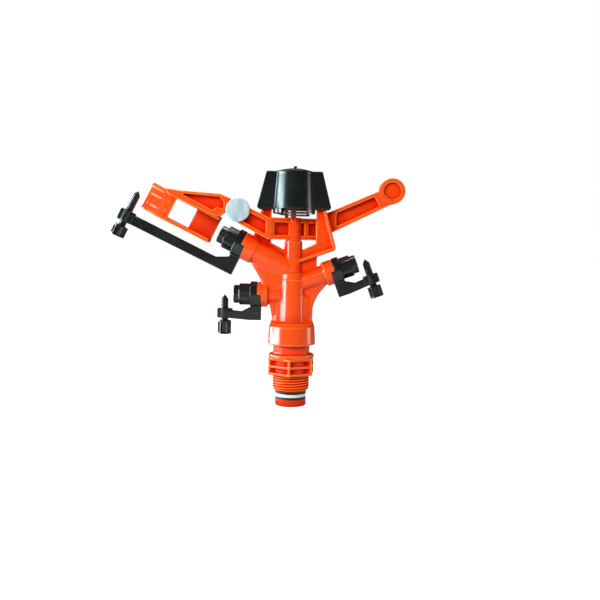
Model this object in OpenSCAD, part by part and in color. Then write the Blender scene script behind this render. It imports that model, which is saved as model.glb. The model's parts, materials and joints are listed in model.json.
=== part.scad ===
// Three-nozzle impact sprinkler with a rocker arm. Millimetres, +Z up.
// Origin: on the vertical axis, in the plane where the thread meets the hexagon.
// The nozzles, the bridge and the arm lie close to the XZ plane; the main jet leaves towards -X.

/* [Inlet thread and bearing] */
// Crest radius of the male inlet thread (G 1)
thread_r = 16.62; // [16.5:0.01:16.7]
// Root radius of the inlet thread
thread_root_r = 15.15; // [15.0:0.01:15.3]
// Pitch of the inlet thread (11 to the inch)
thread_pitch = 2.309; // [2.2:0.001:2.4]
// Length of the threaded end below the hexagon
thread_len = 15; // [14:0.5:16]
// Corner radius of the hexagon
hex_r = 22.5; // [22:0.1:23]
// Height of the hexagon
hex_h = 15; // [14:0.5:15.5]
// Turn of the hexagon about the axis
hex_turn = -4; // [-30:1:30]
// Outer radius of the spindle where it turns in the bush
spindle_r = 10.5; // [10:0.1:10.8]
// Radius of the waterway through the spindle
spindle_bore_r = 7; // [6:0.1:7.2]
// Radial running clearance of turning and sliding pieces
running_gap = 0.07; // [0.03:0.01:0.09]

/* [Body casting] */
// Outer radius of the skirt at its open end
skirt_r = 21.4; // [21:0.1:22]
// Height of the skirt's open end
skirt_z = 26.5; // [26:0.5:27]
// Height of the ceiling inside the skirt
skirt_ceiling_z = 43; // [42:0.5:44]
// Radius of the upright barrel at its foot
barrel_r = 12; // [11.5:0.1:12.3]
// Radius of the neck under the arm
neck_r = 8; // [7.5:0.1:8.5]
// Height of the top of the neck, where the arm's washer lies
neck_top_z = 118.4; // [118:0.1:118.6]

/* [Jets] */
// Height at which the main jet's axis meets the upright axis
main_root_z = 92.7; // [92:0.1:93]
// Rise of the main jet above the horizontal
main_rise = 25.5; // [25:0.1:26]
// Height of the lower jet's level axis
lower_root_z = 70.3; // [70:0.1:71]
// Height at which the rear jet's axis meets the upright axis
rear_root_z = 79; // [78:0.5:80]
// Rise of the rear jet above the horizontal
rear_rise = 20; // [19:0.5:21]
// Distance from the upright axis to the main collar's face
main_face = 51.5; // [51:0.1:52]
// Distance from the upright axis to the lower collar's face
lower_face = 31.6; // [31:0.1:32]
// Distance from the upright axis to the rear collar's face
rear_face = 39.8; // [39:0.1:41]
// Radius of the main nozzle's orifice
main_orifice_r = 4; // [3:0.1:4.5]
// Radius of the lower nozzle's orifice
lower_orifice_r = 1.9; // [1.5:0.1:2.5]
// Radius of the rear nozzle's orifice
rear_orifice_r = 2.3; // [1.5:0.1:2.5]

/* [Bridge, pin and cap] */
// Thickness of the bridge
bridge_t = 5; // [4.6:0.1:5.2]
// Half of the clear width inside the bridge
bridge_clear = 20.2; // [20:0.1:20.4]
// Radius of the steel pin that carries the arm
pin_r = 2; // [1.9:0.05:2.1]
// Height of the pin's tip
pin_top_z = 186.3; // [184:0.1:188]
// Height of the pin's lower end, inside the neck
pin_z = 103; // [101:0.5:106]
// Height of the cap's rim
cap_z = 147; // [146.5:0.1:147.5]
// Height of the cap's top
cap_top_z = 181; // [180.5:0.1:182]
// Wall thickness of the cap
cap_wall = 2.2; // [2:0.1:2.4]

/* [Impact arm] */
// Distance of the arm's beams from the middle plane
beam_y = 4.2; // [4.1:0.1:4.4]
// Depth of the arm's beams
beam_t = 7.8; // [7:0.1:8.2]
// Turn of the arm's middle bar against the XZ plane
bar_turn = 20; // [19:0.5:21]
// Height of the underside of the arm's hub
hub_z = 119.5; // [119.5:0.1:119.8]
// Height of the arm's hub
hub_h = 19.8; // [19:0.1:20]
// Radius of the steel weight
weight_r = 10.65; // [10:0.05:11]

/* [Hidden] */
$fn = 64;

ORANGE = "OrangeRed";
BLACK = [0.12, 0.12, 0.13];
STEEL = "Silver";

bush_bore_r = spindle_r + running_gap;
bush_top_z = 29;
bush_neck_r = 16.4;
seal_t = [1.9, 2.7, 2.3];
seal_r = 14;
flange_z = -thread_len - seal_t[0] - seal_t[1] - seal_t[2];
flange_h = 5.9;
spindle_screw_r = 8.4;
spindle_top_z = 56;
washer_t = 1.5;
spring_wire_r = 0.8;
gasket_t = 1.2;
thread_gap = 0.1;
overlap = 0.5;

// ---------------------------------------------------------------- helpers

// Turns a space with +X along a jet and +Z across it, upwards, to its place on the sprinkler.
module on_jet(root_z, azimuth, rise) {
    translate([0, 0, root_z]) rotate([0, 0, azimuth]) rotate([0, -rise, 0]) children();
}

module on_main_jet() { on_jet(main_root_z, 180, main_rise) children(); }
module on_lower_jet() { on_jet(lower_root_z, 180, 0) children(); }
module on_rear_jet() { on_jet(rear_root_z, 0, rear_rise) children(); }

// A rod along +X from x0 to x1, round unless sides says otherwise.
module rod(r, x0, x1, sides = 64) {
    translate([x0, 0, 0]) rotate([0, 90, 0]) cylinder(r = r, h = x1 - x0, $fn = sides);
}

// An upright cylinder from z0 to z1.
module post(r, z0, z1) {
    translate([0, 0, z0]) cylinder(r = r, h = z1 - z0);
}

// A flat ring from z0 to z1.
module ring(outer_r, inner_r, z0, z1) {
    difference() {
        post(outer_r, z0, z1);
        post(inner_r, z0 - 1, z1 + 1);
    }
}

// A plate with its outline in the XZ plane, from y0 back to y1.
module plate(outline, y0, y1) {
    translate([0, y1, 0]) rotate([90, 0, 0]) linear_extrude(y1 - y0) polygon(outline);
}

// A hexagon with a corner on +X and pockets in its flats: plates, a rib at each corner and a core.
module recessed_hexagon(corner_r, core_r, height, plates, plate_t, rib_t) {
    for (z = plates) translate([0, 0, z]) cylinder(r = corner_r, h = plate_t, $fn = 6);
    for (a = [0 : 60 : 300])
        rotate(a) translate([core_r - 1, -rib_t / 2, 0])
            cube([corner_r - rib_t * 0.3 - core_r + 1, rib_t, height]);
    cylinder(r = core_r, h = height);
}

// Points of an arc in the outline's plane.
function arc(x, z, r, from, to, steps = 12) =
    [for (i = [0 : steps]) let (a = from + (to - from) * i / steps) [x + r * cos(a), z + r * sin(a)]];

function mirrored(outline) = [for (p = outline) [-p[0], p[1]]];
function reversed(outline) = [for (i = [len(outline) - 1 : -1 : 0]) outline[i]];

// A round wire wound about the Z axis from z0 to z1.
module coil(mean_r, wire_r, z0, z1, turns, steps_a_turn = 24, sides = 6) {
    steps = round(turns * steps_a_turn);
    rise = (z1 - z0 - 2 * wire_r) / steps;
    points = [for (i = [0 : steps], k = [0 : sides - 1])
        let (a = 360 * i / steps_a_turn, b = 360 * k / sides, r = mean_r + wire_r * cos(b))
        [r * cos(a), r * sin(a), z0 + wire_r + rise * i + wire_r * sin(b)]];
    walls = [for (i = [0 : steps - 1], k = [0 : sides - 1])
        let (n = (k + 1) % sides)
        [i * sides + k, i * sides + n, (i + 1) * sides + n, (i + 1) * sides + k]];
    ends = [[for (k = [sides - 1 : -1 : 0]) k], [for (k = [0 : sides - 1]) steps * sides + k]];
    polyhedron(points, concat(walls, ends), convexity = 10);
}

// ---------------------------------------------------------------- inlet and bearing

// The thread thins to a lead at its lower end, so that it starts easily in a socket.
lead_len = 4;
lead_drop = 2.2;
function lead(z) = let (t = max(0, -z - (thread_len - lead_len)) / lead_len) lead_drop * t * t;

thread_land = 0.45;
thread_turns = floor((thread_len - 1) / thread_pitch);
module thread_profile() {
    flank = (thread_pitch - 2 * thread_land) / 2;
    teeth = [for (i = [0 : thread_turns - 1]) let (z = -thread_land * 2 - i * thread_pitch)
        each [[thread_r - lead(z), z], [thread_root_r - lead(z), z - flank],
              [thread_root_r - lead(z), z - flank - 0.1],
              [thread_r - lead(z - thread_pitch), z - 2 * flank]]];
    polygon(concat([[bush_bore_r, 0], [thread_r, 0]], teeth,
        [[thread_root_r - lead_drop, -thread_len], [bush_bore_r, -thread_len]]));
}

module hexagon() {
    middle = (hex_h - 2) / 2;
    rotate(hex_turn - 90) recessed_hexagon(hex_r, 17, hex_h, [0, middle, hex_h - 2], 2, 2.2);
}

module inlet_bush() {
    flange_r = 20.4;
    color(ORANGE) difference() {
        union() {
            rotate_extrude() thread_profile();
            hexagon();
            rotate_extrude() polygon(concat([[bush_bore_r, hex_h - 1], [flange_r - 2, hex_h - 1]],
                arc(flange_r - 1.5, hex_h + 1.5, 1.5, -90, 90),
                arc(bush_neck_r + 1.5, hex_h + 4.5, 1.5, 270, 180),
                [[bush_neck_r, bush_top_z], [bush_bore_r, bush_top_z]]));
        }
        post(bush_bore_r, -thread_len - 1, bush_top_z + 1);
    }
}

module seal(index, tint) {
    z1 = -thread_len - (index > 0 ? seal_t[0] : 0) - (index > 1 ? seal_t[1] : 0);
    color(tint) ring(seal_r - 0.2 * index, bush_bore_r, z1 - seal_t[index], z1);
}

module upper_seal() { seal(0, BLACK); }
module slip_washer() { seal(1, "White"); }
module lower_seal() { seal(2, BLACK); }

module spindle() {
    lip = 0.8;
    flange_r = 13.9;
    color(ORANGE) rotate_extrude() polygon([[spindle_bore_r, flange_z - flange_h],
        [flange_r - lip, flange_z - flange_h], [flange_r, flange_z - flange_h + lip],
        [flange_r, flange_z], [spindle_r, flange_z], [spindle_r, skirt_ceiling_z],
        [spindle_screw_r, skirt_ceiling_z], [spindle_screw_r, spindle_top_z],
        [spindle_bore_r, spindle_top_z]]);
}

module sand_seal() { color(BLACK) ring(16, bush_bore_r, bush_top_z, bush_top_z + washer_t); }

module spring_washer() {
    color("White") ring(16.2, bush_bore_r, skirt_ceiling_z - washer_t, skirt_ceiling_z);
}

module bearing_spring() {
    color(STEEL) coil(13.4, spring_wire_r, bush_top_z + washer_t, skirt_ceiling_z - washer_t, 4.5);
}

// ---------------------------------------------------------------- body casting

main_collar_r = 12;
small_collar_r = 11.1;
small_barrel_r = 8.2;
main_barrel_r = 10.8;
key_depth = 3.7;
main_screw_r = 8.4;
small_screw_r = 7.2;
screw_depth = 8;

// A barrel with its collar, as seen along the jet. The barrel widens from its root. The collar's
// lower half stands back, which keeps the bracket from turning.
module branch(root_r, barrel_r, collar_r, collar_len, face) {
    taper_len = 22;
    translate([6, 0, 0]) rotate([0, 90, 0]) cylinder(r1 = root_r, r2 = barrel_r, h = taper_len - 6);
    rod(barrel_r, taper_len, face - key_depth - 0.3);
    difference() {
        rod(collar_r, face - collar_len, face);
        translate([face - key_depth, -collar_r - 1, -collar_r - 1])
            cube([key_depth + 1, 2 * collar_r + 2, collar_r + 1]);
    }
}

// The waterway of a branch, and the socket that the nozzle screws into.
module waterway(bore_r, screw_r, face) {
    rod(bore_r, 0, face + 1);
    rod(screw_r + thread_gap, face - screw_depth - gasket_t, face + 1);
}

module trunk() {
    side_r = 5;
    elbow_y = 6.5;
    wide = 18.4;
    sweep_r = 34;
    // upright barrel, the narrower ring at its top, and the neck
    ring_r = barrel_r - 1.1;
    rotate_extrude() polygon([[0, skirt_ceiling_z], [barrel_r, skirt_ceiling_z], [ring_r + 0.5, 83.8],
        [ring_r, 84.4], [ring_r, 89.2], [ring_r - 0.8, 90], [neck_r + 1, 90.8], [neck_r, 94],
        [neck_r, neck_top_z], [0, neck_top_z]]);
    translate([0, 0, skirt_ceiling_z]) linear_extrude(27) {
        square([2 * (wide - side_r), 2 * side_r], center = true);
        for (side = [-1, 1]) translate([side * (wide - side_r), 0]) circle(side_r);
    }
    // gusset between the lower and the main barrel, thicker where it meets the main barrel
    plate([[0, 52], [-wide, 52], [-20, 60], [-27.7, 82.3], [0, 90]], -side_r + 0.4, side_r - 0.4);
    plate([[0, 74], [-24.8, 74], [-27.7, 82.3], [-36.5, 96.5], [-8, 104], [0, 104]],
        -elbow_y, elbow_y);
    // gusset under the rear barrel, hollowed by a round sweep
    difference() {
        plate([[0, 50], [19, 50], [31, 79.8], [28, 89], [0, 82]], -side_r + 0.5, side_r - 0.5);
        translate([wide + sweep_r - 0.4, 30, 53]) rotate([90, 0, 0]) cylinder(r = sweep_r, h = 60);
    }
    // thin web between the rear barrel and the bridge
    web_y = bridge_t / 2 - 0.2;
    plate([[0, 86], [16, 86], [21.4, 92], [21.4, 106], [0, 100.5]], -web_y, web_y);
}

module skirt() {
    rotate_extrude() polygon([[18.4, skirt_z], [skirt_r, skirt_z], [20.5, 42.5], [18.4, 45.5],
        [0, 45.5], [0, skirt_ceiling_z], [18, skirt_ceiling_z]]);
}

// The right half of the bridge, of its opening, and of the bead along its outer edge.
bridge_top_z = 176;
bridge_foot = [4.4, 99.1];
bridge_corner = [34.9, 113.5];
bridge_corner_r = 3;
function bridge_curve() = arc(bridge_corner[0], bridge_corner[1], bridge_corner_r, -70, 15);
function bridge_half() = concat([[0, bridge_foot[1]], bridge_foot], bridge_curve(),
    [[28.2, 149.1], [20.9, bridge_top_z], [0, bridge_top_z]]);
function bead_half(width) = concat([bridge_foot], bridge_curve(), [[29, 146.3], [29 - width, 145.7]],
    arc(bridge_corner[0] - width, bridge_corner[1] + 0.3, 1, 15, -70),
    [[bridge_foot[0], bridge_foot[1] + width + 0.4]]);
function bridge_hole() = [[0, 110.9], [7.8, 110.9], [bridge_clear, 117], [bridge_clear, 170], [0, 170]];

// Each column's bead stands further out on the side that the arm's beams don't pass.
module bridge() {
    bead_w = 3;
    bead_y = 3.7;
    proud_y = 6.5;
    for (side = [1, -1]) {
        outline = side > 0 ? bridge_half() : mirrored(bridge_half());
        hole = side > 0 ? bridge_hole() : mirrored(bridge_hole());
        difference() {
            plate(outline, -bridge_t / 2, bridge_t / 2);
            plate(hole, -bridge_t, bridge_t);
        }
        plate(side > 0 ? bead_half(bead_w) : mirrored(bead_half(bead_w)),
            side > 0 ? -proud_y : -bead_y, side > 0 ? bead_y : proud_y);
    }
    post(4.5, 168, bridge_top_z);
}

module body() {
    color(ORANGE) difference() {
        union() {
            skirt();
            trunk();
            bridge();
            on_main_jet() branch(8.2, main_barrel_r, main_collar_r, 14, main_face);
            on_lower_jet() branch(small_barrel_r - 0.4, small_barrel_r, small_collar_r, 9.8, lower_face);
            on_rear_jet() branch(small_barrel_r, small_barrel_r + 0.6, small_collar_r, 10, rear_face);
        }
        post(spindle_screw_r + thread_gap, skirt_ceiling_z - 1, spindle_top_z + 0.5);
        post(7.4, spindle_top_z, 90);
        post(pin_r, pin_z, pin_top_z);
        on_main_jet() waterway(6.5, main_screw_r, main_face);
        on_lower_jet() waterway(4.5, small_screw_r, lower_face);
        on_rear_jet() waterway(5, small_screw_r, rear_face);
        post(18, 40, skirt_ceiling_z);
    }
}

// ---------------------------------------------------------------- nozzles and brackets

bracket_ring_t = 6;
nut_len = 10;

module gasket(screw_r, face) {
    x0 = face - screw_depth - gasket_t;
    color(BLACK) difference() {
        rod(screw_r - 0.2, x0, x0 + gasket_t);
        rod(screw_r - 2.5, x0 - 1, x0 + 2);
    }
}

module main_gasket() { on_main_jet() gasket(main_screw_r, main_face); }
module lower_gasket() { on_lower_jet() gasket(small_screw_r, lower_face); }
module rear_gasket() { on_rear_jet() gasket(small_screw_r, rear_face); }

// A nozzle that screws into the collar through the bracket's ring: shank, hexagon and nose.
// Its waterway narrows to the orifice.
module nozzle(screw_r, nut_r, nose_r, nose_len, face, orifice_r) {
    nut_x = face + bracket_ring_t;
    nose_x = nut_x + nut_len;
    end_x = nose_x + nose_len;
    entry_r = screw_r - 1.8;
    color(BLACK) difference() {
        union() {
            rod(screw_r, face - screw_depth, nut_x + 1);
            intersection() {
                rod(nut_r, nut_x, nose_x, 6);
                rod(nut_r * 0.97, nut_x, nose_x);
            }
            rod(nose_r, nut_x, end_x);
        }
        translate([face - screw_depth - overlap, 0, 0]) rotate([0, 90, 0])
            cylinder(r1 = entry_r, r2 = orifice_r, h = end_x - 3 - face + screw_depth + overlap);
        rod(orifice_r, end_x - 4, end_x + 1);
        translate([end_x - 2, 0, 0]) rotate([0, 90, 0])
            cylinder(r1 = orifice_r, r2 = orifice_r + 2, h = 2.01);
        // grip slots around the nose
        for (a = [0 : 45 : 315])
            rotate([a, 0, 0]) translate([nose_x + 1, -0.8, nose_r - 0.7]) cube([nose_len, 1.6, 2]);
    }
}

module main_nozzle() { on_main_jet() nozzle(main_screw_r, 10.9, 7.9, 6, main_face, main_orifice_r); }
module lower_nozzle() { on_lower_jet() nozzle(small_screw_r, 10, 8.1, 5, lower_face, lower_orifice_r); }
module rear_nozzle() { on_rear_jet() nozzle(small_screw_r, 10, 8.1, 5, rear_face, rear_orifice_r); }

// A bracket: ring clamped under the nozzle, leg, arm and the boss that guides the screw.
// drop is the depth of the arm's lower edge below the jet, reach the screw's distance.
module bracket(ring_r, screw_r, face, drop, arm_t, reach, boss_z, boss_h, width = 9) {
    leg_x0 = face - 4;
    leg_x1 = face + 5.2;
    boss_r = 5.2;
    screw_x = face + reach;
    arm_half = width / 2 - 1;
    color(BLACK) difference() {
        union() {
            rod(ring_r, face, face + bracket_ring_t);
            intersection() {
                rod(ring_r, face - key_depth, face + 1);
                translate([face - key_depth, -ring_r, -ring_r - 1])
                    cube([key_depth + 1, 2 * ring_r, ring_r + 1]);
            }
            translate([face - key_depth, -width / 2, -drop])
                cube([leg_x1 - face + key_depth, width, drop - screw_r - 1.5]);
            translate([leg_x0, -width / 2, -drop]) cube([5, width, drop - ring_r - 0.3]);
            plate([[leg_x0, -drop], [leg_x1 + 2, -drop], [screw_x, boss_z],
                [screw_x, boss_z + boss_h - 1.4],
                [leg_x1 + drop / 2.6, -drop + arm_t], [leg_x1, -drop + arm_t + drop / 5],
                [leg_x0, -drop + arm_t]], -arm_half, arm_half);
            translate([screw_x, 0, boss_z]) screw_boss(boss_r, boss_h);
        }
        rod(screw_r + thread_gap, face - key_depth - 1, face + bracket_ring_t + 1);
        translate([screw_x, 0, -drop - 10]) cylinder(r = 3.4 + running_gap, h = drop + 12);
    }
}

// The boss at the arm's end: a sleeve, a plate where the arm joins it and a lip on the far side.
module screw_boss(r, height) {
    cylinder(r = r, h = height);
    translate([-r - 1.6, -4.2, 0]) cube([2 * r + 3, 8.4, height]);
}

main_reach = 104.2;
small_reach = 29;
module main_bracket() {
    on_main_jet() bracket(12.3, main_screw_r, main_face, 28.6, 8.2, main_reach, -28.7, 10.2);
}
module lower_bracket() {
    on_lower_jet() bracket(11.5, small_screw_r, lower_face, 23, 7.4, small_reach, -21.2, 8.2);
}
module rear_bracket() {
    on_rear_jet() bracket(11.5, small_screw_r, rear_face, 23.6, 7.6, small_reach, -21.7, 8.2);
}

// A jet breaker: pointed shank and a six-sided knob with pockets. top is the height of the point.
module breaker_screw(face, reach, top, knob_z0, knob_z1, knob_r) {
    shank_r = 3.4;
    point_h = 4;
    translate([face + reach, 0, 0]) color(BLACK) {
        translate([0, 0, top - point_h]) cylinder(r1 = shank_r, r2 = 0.4, h = point_h);
        post(shank_r, knob_z1 - overlap, top - point_h);
        translate([0, 0, knob_z0]) recessed_hexagon(knob_r, knob_r * 0.66, knob_z1 - knob_z0,
            [0, knob_z1 - knob_z0 - 1.2], 1.2, 1.3);
    }
}

module main_breaker_screw() {
    on_main_jet() breaker_screw(main_face, main_reach, 0.9, -43.1, -33.5, 6.9);
}
module lower_breaker_screw() {
    on_lower_jet() breaker_screw(lower_face, small_reach, -0.8, -35.8, -23.8, 6.3);
}
module rear_breaker_screw() {
    on_rear_jet() breaker_screw(rear_face, small_reach, 1, -34.4, -24.4, 6.3);
}

// ---------------------------------------------------------------- pin and cap

module fulcrum_pin() {
    color(STEEL) {
        post(pin_r, pin_z, pin_top_z - 0.5);
        translate([0, 0, pin_top_z - 0.5]) cylinder(r1 = pin_r, r2 = pin_r - 0.5, h = 0.5);
    }
}

// The cap is a round spring housing with two flat wings over the bridge's columns.
cap_rim_r = 19.2;
cap_rim_w = 33.6;
cap_crown_h = 3;
module cap_shape(grow, z0, z1) {
    top_r = 17;
    rim_w = cap_rim_w;
    top_w = 25;
    wing_t = 15;
    rise = cap_top_z - cap_z;
    function along(low, high, z) = low + (high - low) * (z - cap_z) / rise + grow;
    translate([0, 0, z0])
        cylinder(r1 = along(cap_rim_r, top_r, z0), r2 = along(cap_rim_r, top_r, z1), h = z1 - z0);
    plate([[-along(rim_w, top_w, z0), z0], [along(rim_w, top_w, z0), z0],
        [along(rim_w, top_w, z1), z1], [-along(rim_w, top_w, z1), z1]],
        -wing_t / 2 - grow, wing_t / 2 + grow);
}

// The low crown on the cap's top, and the two ears of its rim inside the bridge's columns.
module cap_crown() {
    base_r = 16.8;
    crown_r = (base_r * base_r + cap_crown_h * cap_crown_h) / (2 * cap_crown_h);
    crown_z = cap_top_z - crown_r + cap_crown_h;
    intersection() {
        translate([0, 0, crown_z]) sphere(r = crown_r, $fn = 128);
        post(base_r - 0.4, cap_top_z - 1, cap_top_z + cap_crown_h + 1);
    }
}

module cap_ears() {
    ear_h = 3.6;
    ear_x = 11;
    difference() {
        ring(cap_rim_r - 0.2, cap_rim_r - cap_wall + 0.4, cap_z - ear_h, cap_z + 1);
        translate([-ear_x, -30, cap_z - ear_h - 1]) cube([2 * ear_x, 60, ear_h + 3]);
    }
}

module top_cap() {
    color(BLACK) difference() {
        union() {
            difference() {
                cap_shape(0, cap_z, cap_top_z);
                cap_shape(-cap_wall, cap_z - 1, cap_top_z - cap_wall);
            }
            post(4.5, bridge_top_z, cap_top_z - 1);
            cap_crown();
            cap_ears();
        }
        post(pin_r, bridge_top_z - 1, cap_top_z + cap_crown_h + 1);
        // chamfers at the wings' lower corners
        for (side = [-1, 1])
            translate([side * cap_rim_w, 0, cap_z]) rotate([0, side * 35, 0])
                cube([6, 20, 3.6], center = true);
    }
}

// ---------------------------------------------------------------- impact arm

module arm_washer() { color(ORANGE) ring(neck_r - 0.6, pin_r + running_gap, neck_top_z, hub_z - 0.1); }

hub_r = 6;
hub_step = 0.4;
pocket_depth = 5.2;
bar_half_t = 3.5;
hub_top_z = hub_z + hub_h;
weight_x = -49.4;
weight_z = 145.3;
weight_shank_r = 7.5;
tail_boss_x = 88.8;
tail_boss_z = 165.9;
tail_boss_r = 11.7;

// The bar between the two beams, with the hub on the pin and pockets at its front.
module arm_bar() {
    shelf = 4.2;
    rotate(bar_turn) difference() {
        translate([-24, -bar_half_t, hub_z + hub_step]) cube([47, 2 * bar_half_t, hub_h - hub_step]);
        for (x = [[-19.2, -5.5], [5.5, 9.2], [13, 20]])
            translate([x[0], -bar_half_t - 1, hub_z + shelf])
                cube([x[1] - x[0], pocket_depth, hub_h - 2 * shelf]);
    }
    rotate(45) post(hub_r, hub_z, hub_top_z + hub_step);
    // lugs that hold the spring's tail
    translate([-2.8, -6.5, hub_top_z - 4]) cube([4.4, 3.4, 16]);
    translate([-8.2, -3, hub_top_z - 1]) cube([3.1, 3, 12]);
}

// The beam that carries the weight and the spoon.
module weight_beam() {
    front = -beam_y - beam_t;
    difference() {
        plate([[-20, hub_z], [-20, 138.2], [-39.8, 147.7], [-56.5, 155.6], [-65.5, 159.2],
            [-102, 161.6], [-113.5, 163.4], [-111, 157.5], [-68, 138.8], [-64.6, 140.2],
            [-60.3, 143.6], [-48, 132.8], [-23, hub_z]], front, -beam_y);
        plate([[-24.6, 124.2], [-24.6, 136], [-38.6, 142.8], [-46, 136]],
            front - 1, front + pocket_depth);
        plate([[-66.2, 156.6], [-100.4, 159], [-72.1, 144.7], [-68.3, 147.5], [-62.3, 145.6], [-62, 152]],
            front - 1, front + pocket_depth);
        translate([weight_x, 10, weight_z]) rotate([90, 0, 0]) cylinder(r = weight_shank_r, h = 40);
    }
}

// The spoon that the jet strikes. Its length lies along its own axis, a little steeper than
// the jet: an inner vane behind the jet, an opening, and an outer vane that curls across it.
// Its outlines are seen from above, with the front of the sprinkler at the top.
spoon_start = 78.8;
spoon_shift = 0.9;
spoon_turn = 0.6;
spoon_half = 12.9;
side_wall = 3.4;
spoon_wall = 2.6;
spoon_front = 9;
spoon_back = -6.5;
inner_vane_end = 22.5;
outer_vane_start = 42;
vane_x = 45.5;
vane_r = 27;
vane_z = spoon_front - vane_r;
function curl(r) = arc(vane_x, vane_z, r, asin((spoon_back - vane_z) / r), 90, 16);

module spoon_slice(outline, from, to) {
    translate([0, 0, from]) linear_extrude(to - from) polygon(outline);
}

module spoon() {
    side = concat([[0, spoon_back]], curl(vane_r), [[0, spoon_front]]);
    outer_vane = concat(curl(vane_r),
        [[outer_vane_start, spoon_front], [outer_vane_start, spoon_front - spoon_wall]],
        reversed(curl(vane_r - spoon_wall)));
    inner_vane = [[0, spoon_back], [0, spoon_back + 2.2], [inner_vane_end, 0.5], [inner_vane_end, -2]];
    on_main_jet() translate([spoon_start, 0, spoon_shift]) rotate([0, -spoon_turn, 0]) {
        spoon_slice(side, -spoon_half, side_wall - spoon_half);
        spoon_slice(side, spoon_half - side_wall, spoon_half);
        spoon_slice(inner_vane, 1 - spoon_half, spoon_half - 1);
        spoon_slice(outer_vane, 1 - spoon_half, spoon_half - 1);
    }
}

// The beam behind the bridge that balances the weight and the spoon.
module tail_beam() {
    back = beam_y + beam_t;
    difference() {
        union() {
            plate([[20, hub_z], [36.7, 128.1], [93.5, 156.4], [84, 169], [31.4, 145.6], [20, 140.6]],
                beam_y, back);
            translate([tail_boss_x, back + 1, tail_boss_z]) rotate([90, 0, 0])
                cylinder(r = tail_boss_r, h = beam_t + 2);
        }
        plate([[38.5, 132.6], [77, 151.6], [72.5, 160.2], [38.5, 145]],
            beam_y - 1, beam_y + pocket_depth);
        translate([tail_boss_x, beam_y + 2, tail_boss_z]) rotate([90, 0, 0]) cylinder(r = 7.8, h = 10);
    }
}

module impact_arm() {
    color(ORANGE) difference() {
        union() {
            arm_bar();
            weight_beam();
            spoon();
            tail_beam();
        }
        post(pin_r + running_gap, hub_z - 1, hub_top_z + 20);
    }
}

module arm_weight() {
    front = -beam_y - beam_t;
    color(STEEL) translate([weight_x, 0, weight_z]) rotate([90, 0, 0]) {
        translate([0, 0, -front]) cylinder(r = weight_r, h = 3.2);
        translate([0, 0, beam_y]) cylinder(r = weight_shank_r, h = beam_t);
    }
}

module arm_spring() { color(STEEL) coil(13.4, spring_wire_r, 140.3, 166, 10); }

// ---------------------------------------------------------------- drawing

inlet_bush();
upper_seal();
slip_washer();
lower_seal();
spindle();
sand_seal();
bearing_spring();
spring_washer();
body();
main_gasket();
lower_gasket();
rear_gasket();
main_nozzle();
lower_nozzle();
rear_nozzle();
main_bracket();
lower_bracket();
rear_bracket();
main_breaker_screw();
lower_breaker_screw();
rear_breaker_screw();
fulcrum_pin();
top_cap();
arm_washer();
impact_arm();
arm_weight();
arm_spring();
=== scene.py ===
"""Looks of a plastic three-nozzle impact sprinkler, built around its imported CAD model.

Every moulded piece is described as a signed distance field in millimetres: negative inside, and
rounded where pieces of the shape join. Each field is meshed once, over the box of its CAD node.
"""
import json
import math

import bpy
import numpy as np
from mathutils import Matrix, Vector

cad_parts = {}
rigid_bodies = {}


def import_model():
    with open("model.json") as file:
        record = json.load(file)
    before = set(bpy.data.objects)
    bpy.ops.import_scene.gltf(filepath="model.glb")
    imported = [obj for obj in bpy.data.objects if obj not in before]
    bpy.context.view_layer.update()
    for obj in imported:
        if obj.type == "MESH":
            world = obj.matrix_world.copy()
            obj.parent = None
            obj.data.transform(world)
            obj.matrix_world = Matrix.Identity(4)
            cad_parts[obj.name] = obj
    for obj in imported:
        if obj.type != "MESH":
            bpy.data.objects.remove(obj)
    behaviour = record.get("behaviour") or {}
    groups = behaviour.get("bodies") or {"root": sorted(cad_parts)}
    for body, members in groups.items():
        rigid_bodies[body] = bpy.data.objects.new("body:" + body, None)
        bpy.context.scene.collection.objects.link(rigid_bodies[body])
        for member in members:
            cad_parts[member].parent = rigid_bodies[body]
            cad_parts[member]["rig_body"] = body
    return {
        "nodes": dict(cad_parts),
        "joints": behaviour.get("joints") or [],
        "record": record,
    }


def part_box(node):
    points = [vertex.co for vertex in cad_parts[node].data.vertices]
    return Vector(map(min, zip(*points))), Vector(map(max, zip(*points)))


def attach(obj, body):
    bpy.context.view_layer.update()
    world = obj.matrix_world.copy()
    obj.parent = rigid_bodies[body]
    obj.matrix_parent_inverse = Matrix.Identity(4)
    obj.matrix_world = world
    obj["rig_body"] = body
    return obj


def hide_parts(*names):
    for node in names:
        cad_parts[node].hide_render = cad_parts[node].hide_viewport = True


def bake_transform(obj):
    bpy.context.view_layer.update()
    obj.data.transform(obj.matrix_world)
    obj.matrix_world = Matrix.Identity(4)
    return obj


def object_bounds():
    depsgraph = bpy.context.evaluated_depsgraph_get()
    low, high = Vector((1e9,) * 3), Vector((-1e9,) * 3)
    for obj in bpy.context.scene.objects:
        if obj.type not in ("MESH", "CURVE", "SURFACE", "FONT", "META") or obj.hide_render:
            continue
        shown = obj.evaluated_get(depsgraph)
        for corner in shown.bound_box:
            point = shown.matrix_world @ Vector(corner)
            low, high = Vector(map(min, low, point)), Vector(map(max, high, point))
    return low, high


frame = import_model()
CAD_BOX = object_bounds()
MM = 0.001
JOINTS = {joint["name"]: joint for joint in frame["joints"]}
EDGE = "edge"  # the attribute that marks moulded edges, where the materials paint a highlight


# ------------------------------------------------------------------ places, from the frame

def span(node, axis):
    """Lowest and highest place of a CAD node along one axis, in millimetres."""
    low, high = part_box(node)
    return low[axis] / MM, high[axis] / MM


def top(node):
    return span(node, 2)[1]


def bottom(node):
    return span(node, 2)[0]


def middle_of(node, axis):
    return sum(span(node, axis)) / 2


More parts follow.
